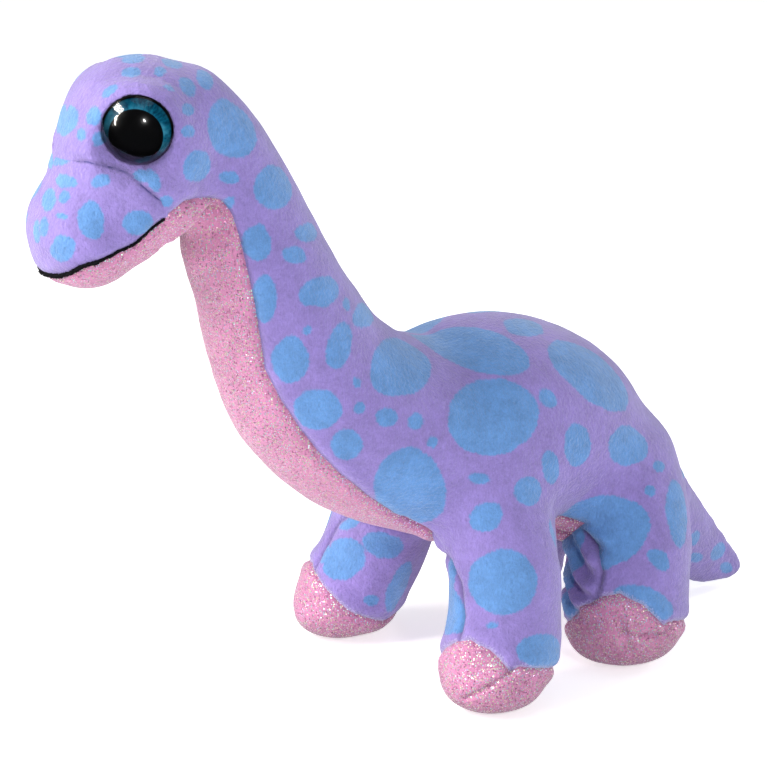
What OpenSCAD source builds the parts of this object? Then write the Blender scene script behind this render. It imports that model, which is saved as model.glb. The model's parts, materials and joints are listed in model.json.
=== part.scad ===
// Long-necked dinosaur, a stuffed plush toy.
// It faces -X, its left side is -Y, and it stands on z = 0.
// Fabric panels are thin shells, and each stuffed region is one solid filling.

/* [Overall] */
// Length of the toy from snout to tail tip
toy_length = 300; // [270:10:330]
// Thickness of the fabric with its pile
fabric_t = 1.6; // [1.2:0.1:2]
// Girth of the neck as a share of the design girth
neck_girth = 1; // [0.9:0.05:1.05]
// Girth of the legs as a share of the design girth
leg_girth = 1; // [0.9:0.05:1.02]

/* [Eyes] */
// Diameter of the safety eyes
eye_d = 22; // [18:1:23]
// Height of the clear dome of an eye
dome_h = 7; // [5:0.5:8]
// Diameter of the locking washer behind an eye
washer_d = 18; // [14:1:20]

/* [Movement] */
// Furthest the neck bends down or back
neck_swing = 12; // [6:1:14]
// Angle that the head is turned to its right at rest
head_turn = 12; // [0:2:16]
// Furthest the head nods down or up
head_swing = 12; // [6:1:14]
// Furthest the tail wags to a side
tail_swing = 18; // [8:1:20]
// Furthest a leg swings away from the pair next to it
leg_swing_out = 12; // [6:1:12]
// Furthest a leg swings towards the pair next to it
leg_swing_in = 6; // [3:1:6]

/* [Hidden] */

design_length = 300;
k = toy_length / design_length;
// Gap between a panel and the filling behind it
clear = 0.5;
// Gap around a moving piece, and the number of sides that its space is cut with
room = 1.2;
room_cols = 18;
// How far a leg's space runs out through the side of the torso
side_run = 14;
// Half of the gap between two panels, in degrees around the section
seam_gap = 0.3;
// The same gap along the piece, in sections
seam_step = 0.03;
// Balls of filling inside the bends of the neck and the tail
neck_ball_r = 25;
tail_ball_r = 13;

iris_t = 1;
stem_l = 8;
stem_d = 5;
washer_t = 1.2;
washer_depth = 5;
// Gap around the eye's parts where they pass through the fabric and the filling
eye_gap = 1;
thread_d = 1.4;
// Stitches of the mouth on each side, their pitch and start in sections, and their lift
stitches = 13;
stitch_pitch = 0.2;
stitch_start = 0.9;
stitch_lift = 1.4;

purple = "mediumpurple";
pink = "palevioletred";
filling = "whitesmoke";
nylon = "dimgray";

// Sections from the nape to the rump: [x, z, half width, half depth]
SPINE = [
    [-97, 214, 12, 13],
    [-89, 202, 16 * neck_girth, 17 * neck_girth], [-82, 187, 18 * neck_girth, 19.5 * neck_girth],
    [-75, 169, 21 * neck_girth, 22 * neck_girth], [-68, 151, 24 * neck_girth, 24 * neck_girth],
    [-60, 132, 27 * neck_girth, 27 * neck_girth], [-50, 113, 30, 31],
    [-31, 97, 34, 33], [-5, 88, 38, 35], [22, 86, 40, 39], [46, 81, 38, 37],
    [66, 68, 33, 31], [84, 54, 26, 24], [97, 44, 19, 18]
];
// Sections from the tip of the snout to the crown: [x, z, half width, half depth]
HEAD = [
    [-135, 158, 4, 4], [-134, 162, 13, 13], [-131, 171, 18, 19], [-125, 181, 22, 23],
    [-117, 192, 26, 26], [-108, 203, 27, 27], [-98, 211, 24, 24], [-91, 217, 16, 16],
    [-86, 221, 5, 5]
];
// Sections of the tail from its root to its tip: [x, z, half width, half depth]
TAIL = [
    [99, 42, 17, 17], [111, 29, 12, 14], [124, 17, 7, 12], [135, 10, 4, 9], [146, 5, 1.5, 4]
];
// Sections of the left legs from the hip to the sole: [x, y, z, half width, half length]
FRONT_LEG = [
    [4, -20, 82, 8, 8], [4, -22, 76, 16, 16], [5, -28, 62, 19, 19], [5, -34, 48, 19, 19],
    [3, -38, 34, 19, 19], [-1, -42, 20, 20, 21], [-4, -43, 10, 18, 20], [-5, -43, 3, 13, 15],
    [-5, -43, 0, 8, 10]
];
HIND_LEG = [
    [71, -18, 78, 8, 8], [70, -20, 72, 15, 17], [69, -25, 58, 19, 20], [67, -29, 45, 21, 22],
    [64, -32, 31, 21, 22], [61, -35, 18, 21, 22], [60, -35, 9, 19, 21], [59, -35, 3, 14, 16],
    [59, -35, 0, 9, 12]
];

// Places along SPINE, HEAD and the legs where pieces meet, counted in sections
neck_cut = 6;
head_cut = 0;
rump_end = 13;
muzzle_seam = 3.2;
leg_skin_top = 1.3;
foot_seam = 5;

// Half angles of the glitter panels, from the front or belly line
throat_half = 34;
belly_half = 40;
jaw_half = 62;

NECK_PIVOT = [-46, 0, 110];
HEAD_PIVOT = [-87, 0, 200];
TAIL_PIVOT = [95, 0, 45];
FRONT_PIVOT = [4, -22, 74];
HIND_PIVOT = [70, -20, 70];
EYE_POS = [-118, -20, 210];
EYE_TURN = 24;
EYE_TILT = 6;

// Smooth value between the sections of a list, at place u
function section(list, u) =
    let (n = len(list) - 1,
         i = min(max(floor(u), 0), n - 1),
         t = u - i,
         p0 = list[max(i - 1, 0)], p1 = list[i], p2 = list[i + 1], p3 = list[min(i + 2, n)])
    0.5 * (2 * p1 + (p2 - p0) * t + (2 * p0 - 5 * p1 + 4 * p2 - p3) * t * t
        + (3 * p1 - p0 - 3 * p2 + p3) * t * t * t);

// Unit direction of a level spine at place u
function heading(list, u) =
    let (n = len(list) - 1,
         a = section(list, max(u - 0.1, 0)), b = section(list, min(u + 0.1, n)),
         d = [b[0] - a[0], b[1] - a[1]])
    d / norm(d);

// Point of a body section: 0 is the belly line, 90 the left side, 180 the back
function body_point(list, u, angle, inset) =
    let (s = section(list, u), h = heading(list, u),
         depth = -cos(angle) * max(s[3] - inset, 0.4), width = sin(angle) * max(s[2] - inset, 0.4))
    k * [s[0] - h[1] * depth, -width, s[1] + h[0] * depth];

// Point of a leg section: 0 is the inner side, 90 the toe, 180 the outer side
function leg_point(list, u, angle, inset) =
    let (s = section(list, u),
         half_y = max(s[3] * leg_girth - inset, 0.4), half_x = max(s[4] * leg_girth - inset, 0.4))
    k * [s[0] - half_x * sin(angle), s[1] + half_y * cos(angle), s[2] + sole_lift(s[2], inset)];

// An inner surface stays above the sole by the fabric's thickness
function sole_lift(z, inset) = max(0, inset - z);

function point_of(list, u, angle, inset) =
    len(list[0]) == 4 ? body_point(list, u, angle, inset) : leg_point(list, u, angle, inset);

function steps(a, b, n) = [for (i = [0:n]) a + (b - a) * i / n];

// Two triangles of the grid cell at row i, column j, in the order that faces outwards
function cell(a, b, c, d, flip) = flip ? [[a, b, c], [a, c, d]] : [[c, b, a], [d, c, a]];

// A fabric panel: a shell between two places along the list and between two angles
module panel(list, u0, u1, a0, a1, rows, cols) {
    us = steps(u0, u1, rows);
    as = steps(a0, a1, cols);
    w = cols + 1;
    inner = (rows + 1) * w;
    points = [for (inset = [0, fabric_t], u = us, a = as) point_of(list, u, a, inset)];
    sheets = [for (side = [0, 1], i = [0:rows - 1], j = [0:cols - 1])
        let (p = side * inner + i * w + j)
        each cell(p, p + 1, p + w + 1, p + w, side == 0)];
    row_edges = [for (i = [0, rows], j = [0:cols - 1])
        let (p = i * w + j)
        each cell(p, p + 1, p + 1 + inner, p + inner, i == rows)];
    col_edges = [for (j = [0, cols], i = [0:rows - 1])
        let (p = i * w + j)
        each cell(p, p + w, p + w + inner, p + inner, j == 0)];
    polyhedron(points, concat(sheets, row_edges, col_edges));
}

// A stuffed region: a solid loft between two places along the list
module filling_loft(list, u0, u1, inset, rows, cols = 20) {
    us = steps(u0, u1, rows);
    points = [for (u = us, j = [0:cols - 1]) point_of(list, u, 360 * j / cols, inset)];
    sides = [for (i = [0:rows - 1], j = [0:cols - 1])
        let (q = (j + 1) % cols, p = i * cols)
        each cell(p + j, p + q, p + cols + q, p + cols + j, true)];
    ends = [for (j = [1:cols - 2]) each [
        [0, j + 1, j], [rows * cols, rows * cols + j, rows * cols + j + 1]]];
    polyhedron(points, concat(sides, ends));
}

// Soft pieces are meshed whole, as stuffed cloth has no true curves
module soft(tint) {
    color(tint) resize([0, 0, 0]) children();
}

// The space that a moving piece sweeps between the ends of its travel
module swept(pivot, axis, low, high) {
    hull()
        for (turn = [low, high])
            translate(k * pivot) rotate(turn, axis) translate(-k * pivot) children();
}

module mirrored(side) {
    if (side == "left") children();
    else mirror([0, 1, 0]) children();
}

// Spaces cut out of a piece for the pieces that move next to it
module neck_room() {
    swept(NECK_PIVOT, [0, 1, 0], -neck_swing, neck_swing) {
        filling_loft(SPINE, 5, neck_cut, -room, 2, room_cols);
        translate(k * NECK_PIVOT) sphere(r = k * (neck_ball_r + 1), $fn = 18);
    }
}

module head_room() {
    swept(HEAD_PIVOT, [0, 1, 0], -head_swing, head_swing)
        turned() intersection() {
            filling_loft(HEAD, 0, 8, -room, 8, room_cols);
            translate(k * [-107, -50, 150]) cube(k * 100);
        }
}

module tail_room() {
    swept(TAIL_PIVOT, [0, 0, 1], -tail_swing, tail_swing) {
        filling_loft(TAIL, 0, 1, -room, 1, room_cols);
        translate(k * TAIL_PIVOT) sphere(r = k * (tail_ball_r + 1), $fn = 18);
    }
}

// A leg's space runs out through the side of the torso
module widened() {
    children();
    translate([0, -side_run, 0]) children();
}

module leg_rooms() {
    for (side = ["left", "right"]) mirrored(side) {
        swept(FRONT_PIVOT, [0, 1, 0], -leg_swing_in, leg_swing_out)
            widened() filling_loft(FRONT_LEG, 0, 5, -room, 4, room_cols);
        swept(HIND_PIVOT, [0, 1, 0], -leg_swing_out, leg_swing_in)
            widened() filling_loft(HIND_LEG, 0, 5, -room, 4, room_cols);
    }
}

module torso_cut() {
    difference() {
        children();
        neck_room();
        tail_room();
        leg_rooms();
    }
}

// Torso
module torso_side(side) {
    soft(purple) mirrored(side) torso_cut()
        panel(SPINE, neck_cut, rump_end, belly_half + seam_gap, 180 - seam_gap, 12, 9);
}

module belly_panel() {
    soft(pink) torso_cut()
        panel(SPINE, neck_cut, rump_end - 1, -belly_half + seam_gap, belly_half - seam_gap, 10, 6);
}

module torso_stuffing() {
    soft(filling) torso_cut()
        filling_loft(SPINE, neck_cut, rump_end, fabric_t + clear, 12);
}

// Neck
module neck_cut_head() {
    difference() {
        children();
        head_room();
    }
}

module neck_side(side) {
    soft(purple) neck_cut_head() mirrored(side)
        panel(SPINE, head_cut, neck_cut, throat_half + seam_gap, 180 - seam_gap, 8, 9);
}

module throat_panel() {
    soft(pink) neck_cut_head()
        panel(SPINE, head_cut, neck_cut, -throat_half + seam_gap, throat_half - seam_gap, 8, 6);
}

module neck_stuffing() {
    soft(filling) neck_cut_head() {
        union() {
            filling_loft(SPINE, head_cut, neck_cut, fabric_t + clear, 8);
            translate(k * NECK_PIVOT) sphere(r = k * neck_ball_r, $fn = 24);
        }
    }
}

// Head, built facing straight ahead and then turned
module turned() {
    translate(k * HEAD_PIVOT) rotate([0, 0, -head_turn]) translate(-k * HEAD_PIVOT) children();
}

module eye_seats() {
    for (side = ["left", "right"]) at_eye(side) {
        translate([0, 0, -eye_gap / 2]) cylinder(h = eye_d, d = eye_d + eye_gap, $fn = 32);
        translate([0, 0, -washer_depth - eye_gap])
            cylinder(h = washer_depth + eye_gap, d = washer_d + eye_gap, $fn = 32);
    }
}

module head_side(side) {
    soft(purple) turned() difference() {
        mirrored(side) panel(HEAD, muzzle_seam, 8, jaw_half + seam_gap, 180 - seam_gap, 7, 8);
        eye_seats();
    }
}

module muzzle_panel() {
    soft(purple) turned() difference() {
        panel(HEAD, 0, muzzle_seam - seam_step, jaw_half + seam_gap, 360 - jaw_half - seam_gap, 7, 16);
        eye_seats();
    }
}

module jaw_panel() {
    soft(pink) turned() panel(HEAD, 0, 8, -jaw_half + seam_gap, jaw_half - seam_gap, 14, 8);
}

module head_stuffing() {
    soft(filling) turned() difference() {
        filling_loft(HEAD, 0.3, 7.8, fabric_t + clear, 10);
        for (side = ["left", "right"]) at_eye(side) translate([0, 0, -stem_l - 2 * eye_gap])
            cylinder(h = 2 * eye_d, d = eye_d + eye_gap, $fn = 24);
    }
}

// Stitched mouth, a thread that follows the seam between muzzle and jaw
module mouth_thread() {
    soft("black") turned()
        for (s = [-1, 1], i = [0:stitches - 1])
            hull()
                for (j = [0, 1])
                    translate(body_point(HEAD, stitch_start + stitch_pitch * (i + j), s * jaw_half,
                        -stitch_lift))
                        sphere(d = thread_d, $fn = 8);
}

// Safety eyes: a clear dome over a printed iris, on a stem with a locking washer
module at_eye(side) {
    mirrored(side) translate(k * EYE_POS) rotate([90 + EYE_TILT, 0, -EYE_TURN]) children();
}

module eye_dome(side) {
    dome_r = (pow(eye_d / 2, 2) + pow(dome_h, 2)) / (2 * dome_h);
    color("lightcyan") turned() at_eye(side) translate([0, 0, iris_t]) rotate_extrude($fn = 64)
        intersection() {
            translate([0, dome_h - dome_r]) circle(r = dome_r, $fn = 128);
            square([eye_d, eye_d]);
        }
}

module eye_iris(side) {
    color("teal") turned() at_eye(side) cylinder(h = iris_t, d = eye_d, $fn = 64);
}

module eye_stem(side) {
    color(nylon) turned() at_eye(side) translate([0, 0, -stem_l])
        cylinder(h = stem_l, d = stem_d, $fn = 32);
}

module eye_washer(side) {
    color(nylon) turned() at_eye(side) translate([0, 0, -washer_depth]) difference() {
        cylinder(h = washer_t, d = washer_d, $fn = 48);
        translate([0, 0, -1]) cylinder(h = washer_t + 2, d = stem_d, $fn = 32);
    }
}

// Tail
module tail_side(side) {
    soft(purple) mirrored(side) panel(TAIL, 0, 4, seam_gap, 180 - seam_gap, 6, 8);
}

module tail_stuffing() {
    soft(filling) {
        filling_loft(TAIL, 0, 3.2, fabric_t + clear, 6);
        translate(k * TAIL_PIVOT) sphere(r = k * tail_ball_r, $fn = 24);
    }
}

// Legs
module leg_panel(list, side, a0, a1) {
    soft(purple) mirrored(side)
        panel(list, leg_skin_top, foot_seam - seam_step, a0 + seam_gap, a1 - seam_gap, 5, 8);
}

module foot_cap(list, side) {
    soft(pink) mirrored(side) difference() {
        filling_loft(list, foot_seam, 8, 0, 6, 24);
        filling_loft(list, foot_seam - 0.2, 7.6, fabric_t, 5, 24);
    }
}

module leg_stuffing(list, side) {
    soft(filling) mirrored(side) filling_loft(list, 0, 7.3, fabric_t + clear, 10, 20);
}

torso_side("left");  // torso_left_panel
torso_side("right");  // torso_right_panel
belly_panel();
torso_stuffing();
neck_side("left");  // neck_left_panel
neck_side("right");  // neck_right_panel
throat_panel();
neck_stuffing();
head_side("left");  // head_left_panel
head_side("right");  // head_right_panel
muzzle_panel();
jaw_panel();
head_stuffing();
mouth_thread();
eye_dome("left");  // left_eye_dome
eye_iris("left");  // left_eye_iris
eye_stem("left");  // left_eye_stem
eye_washer("left");  // left_eye_washer
eye_dome("right");  // right_eye_dome
eye_iris("right");  // right_eye_iris
eye_stem("right");  // right_eye_stem
eye_washer("right");  // right_eye_washer
tail_side("left");  // tail_left_panel
tail_side("right");  // tail_right_panel
tail_stuffing();
leg_panel(FRONT_LEG, "left", 90, 270);  // front_left_leg_outer_panel
leg_panel(FRONT_LEG, "left", -90, 90);  // front_left_leg_inner_panel
foot_cap(FRONT_LEG, "left");  // front_left_foot_cap
leg_stuffing(FRONT_LEG, "left");  // front_left_leg_stuffing
leg_panel(FRONT_LEG, "right", 90, 270);  // front_right_leg_outer_panel
leg_panel(FRONT_LEG, "right", -90, 90);  // front_right_leg_inner_panel
foot_cap(FRONT_LEG, "right");  // front_right_foot_cap
leg_stuffing(FRONT_LEG, "right");  // front_right_leg_stuffing
leg_panel(HIND_LEG, "left", 90, 270);  // hind_left_leg_outer_panel
leg_panel(HIND_LEG, "left", -90, 90);  // hind_left_leg_inner_panel
foot_cap(HIND_LEG, "left");  // hind_left_foot_cap
leg_stuffing(HIND_LEG, "left");  // hind_left_leg_stuffing
leg_panel(HIND_LEG, "right", 90, 270);  // hind_right_leg_outer_panel
leg_panel(HIND_LEG, "right", -90, 90);  // hind_right_leg_inner_panel
foot_cap(HIND_LEG, "right");  // hind_right_foot_cap
leg_stuffing(HIND_LEG, "right");  // hind_right_leg_stuffing
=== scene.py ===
"""Long-necked dinosaur plush toy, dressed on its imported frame.

The skin is one soft shape: sections swept along the spine, head, tail and legs are blended into
one field, meshed, inflated as cloth, cut along its seams into fabric panels, and given seams,
creases and a printed pile. It is shaped in millimetres facing -X, with the head straight ahead,
and that rest place stays on each point for the printed spots and the fabric's texture.
"""
import json
import math

import bpy
import numpy as np
import openvdb
from mathutils import Matrix, Vector
from mathutils.kdtree import KDTree


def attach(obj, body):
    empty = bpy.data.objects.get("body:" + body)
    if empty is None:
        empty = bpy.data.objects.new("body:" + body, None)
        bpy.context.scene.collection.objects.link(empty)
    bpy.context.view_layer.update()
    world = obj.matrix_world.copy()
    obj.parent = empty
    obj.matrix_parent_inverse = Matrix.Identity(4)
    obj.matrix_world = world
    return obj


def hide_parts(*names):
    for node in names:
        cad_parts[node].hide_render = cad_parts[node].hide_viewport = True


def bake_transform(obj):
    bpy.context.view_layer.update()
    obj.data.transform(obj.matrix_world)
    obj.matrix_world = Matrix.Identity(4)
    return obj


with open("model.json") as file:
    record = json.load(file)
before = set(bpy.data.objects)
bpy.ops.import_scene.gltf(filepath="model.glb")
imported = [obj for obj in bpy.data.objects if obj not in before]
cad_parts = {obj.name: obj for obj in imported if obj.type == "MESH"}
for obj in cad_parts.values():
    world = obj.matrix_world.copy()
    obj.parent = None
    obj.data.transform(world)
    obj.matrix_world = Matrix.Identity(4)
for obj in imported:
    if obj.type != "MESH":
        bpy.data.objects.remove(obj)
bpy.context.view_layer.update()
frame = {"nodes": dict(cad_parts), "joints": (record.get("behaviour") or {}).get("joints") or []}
scene = bpy.context.scene

MM = 0.001
JOINTS = {j["name"]: j for j in frame["joints"]}


def pivot_mm(joint):
    return np.array(JOINTS[joint]["pos_m"]) / MM


HEAD_PIVOT = pivot_mm("head_nod")
HEAD_TURN = math.radians(12)
# The way that the neck runs under the head, and the stretch of it that twists
HEAD_UP = np.array([-0.8, 0, 0.6])
TWIST = 176, 196

# ---------------------------------------------------------------- camera, light and floor

VIEW_AZIMUTH = math.radians(-35)
VIEW_ELEVATION = math.radians(17)
VIEW_DISTANCE = 1.0
VIEW_TARGET = Vector((-0.0212, -0.0016, 0.108))
VIEW_LENS = 138.5


def direction(azimuth, elevation):
    """Unit vector from the object towards a viewer; azimuth 0 looks along +Y."""
    return Vector((math.sin(azimuth) * math.cos(elevation),
                   -math.cos(azimuth) * math.cos(elevation), math.sin(elevation)))


def make_camera():
    data = bpy.data.cameras.new("camera")
    data.lens = VIEW_LENS
    data.sensor_width = 36
    camera = bpy.data.objects.new("camera", data)
    scene.collection.objects.link(camera)
    back = direction(VIEW_AZIMUTH, VIEW_ELEVATION)
    camera.location = VIEW_TARGET + back * VIEW_DISTANCE
    camera.rotation_euler = back.to_track_quat("Z", "Y").to_euler()
    scene.camera = camera


WARM, WHITE = (1.0, 0.95, 0.88), (1, 1, 1)
LIGHT_TARGET = Vector((-0.03, 0, 0.1))
# Lights: azimuth, elevation, distance, width, height, power and colour
LIGHTS = {"key": (-112, 42, 1.1, 0.6, 0.26, 10.5, WARM), "left": (-102, 20, 1.1, 0.12, 0.4, 6, WARM),
          "glint": (-18, 26, 1.3, 0.12, 0.12, 4.5, WHITE),
          "edge": (88, 14, 1.0, 0.08, 0.3, 2.5, WHITE), "top": (10, 80, 1.2, 0.8, 0.8, 0.9, WHITE)}
# Corners of a large room around the toy: 0 to 3 on its floor, 4 to 7 over them
ROOM_HALF, ROOM_HIGH = 6.0, 6.0
ROOM_CORNERS = [(x * ROOM_HALF, y * ROOM_HALF, z) for z in (0, ROOM_HIGH)
                for x, y in ((-1, -1), (1, -1), (1, 1), (-1, 1))]
FLOOR_SIDE = [(0, 1, 2, 3)]
UPPER_SIDES = [(4, 5, 6, 7), (0, 1, 5, 4), (1, 2, 6, 5), (2, 3, 7, 6), (3, 0, 4, 7)]


def area_light(name, azimuth, elevation, distance, width, height, power, colour):
    data = bpy.data.lights.new(name, "AREA")
    data.shape = "RECTANGLE"
    data.size, data.size_y = width, height
    data.energy = power
    data.color = colour
    light = bpy.data.objects.new(name, data)
    scene.collection.objects.link(light)
    out = direction(math.radians(azimuth), math.radians(elevation))
    light.location = LIGHT_TARGET + out * distance
    light.rotation_euler = out.to_track_quat("Z", "Y").to_euler()


def make_studio():
    for name, settings in LIGHTS.items():
        area_light(name, *settings)
    world = bpy.data.worlds.new("studio")
    world.use_nodes = True
    sky = world.node_tree.nodes["Background"].inputs
    sky["Color"].default_value = (0.92, 0.96, 1, 1)
    sky["Strength"].default_value = 0.5
    scene.world = world
    world.cycles_visibility.glossy = False
    scene.view_settings.view_transform = "Standard"
    floor = stage_piece("floor", FLOOR_SIDE, 0.8, 0.58)
    floor.visible_glossy = False
    backdrop = stage_piece("backdrop", UPPER_SIDES, 0.0, 0.97)
    backdrop.visible_diffuse = backdrop.visible_glossy = backdrop.visible_shadow = False


def stage_piece(name, faces, base, glow):
    """Sides of the room, with the brightness of their surface and of their own light."""
    used = sorted({corner for face in faces for corner in face})
    sides = [[used.index(corner) for corner in face] for face in faces]
    mesh = bpy.data.meshes.new(name)
    mesh.from_pydata([ROOM_CORNERS[i] for i in used], [], sides)
    piece = bpy.data.objects.new(name, mesh)
    scene.collection.objects.link(piece)
    material = bpy.data.materials.new(name)
    material.use_nodes = True
    shader = material.node_tree.nodes["Principled BSDF"]
    shader.inputs["Base Color"].default_value = (base, base, base, 1)
    shader.inputs["Roughness"].default_value = 0.7
    shader.inputs["Specular IOR Level"].default_value = 0.2
    shader.inputs["Emission Color"].default_value = (1, 1, 1, 1)
    shader.inputs["Emission Strength"].default_value = glow
    mesh.materials.append(material)
    return piece


# ---------------------------------------------------------------- the shape's sections, in mm

# Spine from the nape to the rump and on into the tail: x, z, half width, half depth
SPINE = np.array([
    [-97.5, 213.5, 13, 12.5], [-89.3, 202, 16.5, 17.3], [-82.1, 187, 18.5, 20.5],
    [-75.2, 169, 21, 23.1],
    [-67.5, 151, 24, 24.5], [-59.5, 132.5, 27, 28], [-49, 113.6, 30, 31.1], [-30, 97, 34, 33],
    [-5, 87.3, 38, 35.3], [22, 86.1, 40, 39.3], [46, 80, 38, 36.5], [65.5, 66, 33, 30],
    [83.5, 52, 26, 23], [97, 41.5, 19, 17.3]], float)
# Blobs of the head: x, z, half length, half width, half height
SKULL = [(-111, 202.5, 26.7, 26.5, 27.5), (-101.5, 204, 22.3, 22, 23.3)]
SNOUT = [(-129.5, 175.6, 19.3, 21.3, 19.5), (-121, 177.5, 17, 21.5, 16.3), (-112, 183, 14, 20, 13),
         (-125.5, 189, 12.5, 16, 12)]
TAIL = np.array([
    [88, 45, 16, 17], [99, 39, 15, 17.5], [111, 27.6, 11.5, 15.6], [124, 16.6, 7.5, 13],
    [135, 9.4, 5, 9.6], [143, 5.4, 3.5, 5.6]], float)
# Left legs from the hip to the sole: x, y, z, half width, half length
FRONT_LEG = np.array([
    [6, -22, 78, 15, 15], [6.5, -28, 62, 19, 19.5], [6, -34, 48, 19, 19.5], [3.5, -38, 34, 19, 19.5],
    [-1, -42, 20, 19.5, 21], [-4.8, -43, 10, 18, 18.8], [-5.5, -43, 4, 13.5, 14.5],
    [-5.5, -43, 1, 8, 10]], float)
HIND_LEG = np.array([
    [70, -20, 74, 14, 16], [69, -25, 58, 19, 20], [67, -29, 45, 21, 21.5], [63.5, -32, 31, 21, 22],
    [60.5, -35, 18, 21, 22.5], [59.5, -35, 9, 19, 21], [59, -35, 4, 14.5, 16.5],
    [59, -35, 1, 9, 12]], float)
# Rows and side of each leg, how far its foot stands back from the rows, and its added length
LEGS = {"front_left": (FRONT_LEG, 1, 0.6, 0), "front_right": (FRONT_LEG, -1, -1.6, 1.5),
        "hind_left": (HIND_LEG, 1, 0, 0), "hind_right": (HIND_LEG, -1, 0, 0)}

# The grid of distances: its step, its corners, its largest value and how thin an ellipsoid is
CELL = 2.0
LOW = np.array([-158.0, -74.0, -8.0])
HIGH = np.array([160.0, 74.0, 246.0])
FAR = 12.0
THIN = 0.4


def smooth_rows(rows, count):
    """Catmull-Rom points through a table's rows, evenly spread along it."""
    out = []
    n = len(rows) - 1
    for place in np.linspace(0, n, count):
        i = min(int(place), n - 1)
        t = place - i
        a, b, c, d = rows[max(i - 1, 0)], rows[i], rows[i + 1], rows[min(i + 2, n)]
        out.append(0.5 * (2 * b + (c - a) * t + (2 * a - 5 * b + 4 * c - d) * t ** 2
                          + (3 * b - a - 3 * c + d) * t ** 3))
    return np.array(out)


class Field:
    """Signed distance, about in mm, on a regular grid: below zero inside."""

    def __init__(self):
        self.axes = [np.arange(lo, hi, CELL) for lo, hi in zip(LOW, HIGH)]
        self.values = np.full([len(a) for a in self.axes], FAR, np.float32)

    def ellipsoid(self, centre, frame3, radii):
        """Adds one ellipsoid whose axes are the rows of frame3."""
        reach = max(radii) + FAR
        cuts = [slice(max(np.searchsorted(a, c - reach), 0), np.searchsorted(a, c + reach))
                for a, c in zip(self.axes, centre)]
        gx, gy, gz = np.meshgrid(*[a[s] - c for a, s, c in zip(self.axes, cuts, centre)],
                                 indexing="ij", sparse=True)
        size, slope = 0, 0
        for row, radius in zip(frame3, radii):
            along = gx * row[0] + gy * row[1] + gz * row[2]
            size = size + (along / radius) ** 2
            slope = slope + (along / radius ** 2) ** 2
        size = np.sqrt(size)
        near = size * (size - 1) / np.sqrt(slope + 1e-6)
        block = self.values[tuple(cuts)]
        np.minimum(block, near.astype(np.float32), out=block)

    def sweep(self, rows, count):
        """Ellipsoids along a level spine: rows of x, z, half width, half depth."""
        rows = smooth_rows(rows, count)
        ahead = np.gradient(rows[:, :2], axis=0)
        ahead /= np.linalg.norm(ahead, axis=1)[:, None]
        for (x, z, width, depth), (tx, tz) in zip(rows, ahead):
            frame3 = [(tx, 0, tz), (0, 1, 0), (-tz, 0, tx)]
            self.ellipsoid((x, 0, z), frame3, (min(width, depth) * THIN, width, depth))

    def leg(self, rows, side, back, added, count):
        """Level ellipsoids down a leg, whose foot stands back from its rows."""
        upright = np.eye(3)
        for x, y, z, width, length in smooth_rows(rows, count):
            x += back * smoothstep(48, 12, z)
            length += added
            self.ellipsoid((x, y * side, z), upright, (length, width, min(width, length) * THIN))


def blend_fields(a, b, reach):
    """Smooth union of two grids of distances."""
    h = np.maximum(reach - np.abs(a - b), 0) / reach
    return np.minimum(a, b) - h * h * reach / 4


def sample_grid(values, points):
    """Value of a grid at points, by trilinear interpolation."""
    cell = (points - LOW) / CELL
    cell = np.clip(cell, 0, np.array(values.shape) - 1.001)
    base = cell.astype(int)
    t = cell - base
    out = 0
    for corner in np.ndindex(2, 2, 2):
        weight = np.prod(np.where(corner, t, 1 - t), axis=1)
        i, j, k = (base + corner).T
        out = out + weight * values[i, j, k]
    return out


def build_fields():
    fields = {"body": Field(), "tail": Field(), "skull": Field(), "snout": Field()}
    fields["body"].sweep(SPINE, 120)
    fields["tail"].sweep(TAIL, 50)
    for name, blobs in (("skull", SKULL), ("snout", SNOUT)):
        for x, z, length, width, height in blobs:
            fields[name].ellipsoid((x, 0, z), np.eye(3), (length, width, height))
    for name, (rows, side, back, added) in LEGS.items():
        fields[name] = Field()
        fields[name].leg(rows, side, back, added, 60)
    height = fields["body"].axes[2][None, None, :]
    fields = {name: field.values for name, field in fields.items()}
    head = blend_fields(fields["skull"], fields["snout"], 13)
    trunk = blend_fields(fields["body"], fields["tail"], 6)
    trunk = blend_fields(trunk, head, 5)
    limbs = np.minimum.reduce([fields[name] for name in LEGS])
    whole = blend_fields(trunk, limbs, 13)
    ground = np.broadcast_to(-height, whole.shape)
    fields["whole"] = -blend_fields(-whole, -ground, 5)
    return fields


# ---------------------------------------------------------------- mesh work on arrays

def mesh_field(values, level):
    """Quads where a grid of distances crosses a level, as points and faces."""
    grid = openvdb.FloatGrid(background=FAR)
    grid.copyFromArray(np.ascontiguousarray(values, np.float32))
    points, quads = grid.convertToQuads(level)
    return points.astype(float) * CELL + LOW, quads.astype(int)


def relax(points, faces, rounds):
    """Moves each point half way to the middle of its neighbours, a number of times."""
    a = faces.ravel()
    b = np.roll(faces, -1, axis=1).ravel()
    for _ in range(rounds):
        total = np.zeros_like(points)
        count = np.zeros(len(points))
        for p, q in ((a, b), (b, a)):
            np.add.at(total, p, points[q])
            np.add.at(count, p, 1)
        points = points + 0.5 * (total / np.maximum(count, 1)[:, None] - points)
    return points


def new_object(name, points, faces):
    mesh = bpy.data.meshes.new(name)
    mesh.from_pydata(points.tolist(), [], faces.tolist())
    mesh.update()
    piece = bpy.data.objects.new(name, mesh)
    scene.collection.objects.link(piece)
    return piece


def smooth_object(name, points, faces, rest):
    """An object with smooth faces, which carries the rest place of its points."""
    piece = new_object(name, points * MM, faces)
    piece.data.polygons.foreach_set("use_smooth", np.ones(len(faces), bool))
    place = piece.data.attributes.new("rest", "FLOAT_VECTOR", "POINT")
    place.data.foreach_set("vector", (rest * MM).ravel())
    return piece


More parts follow.
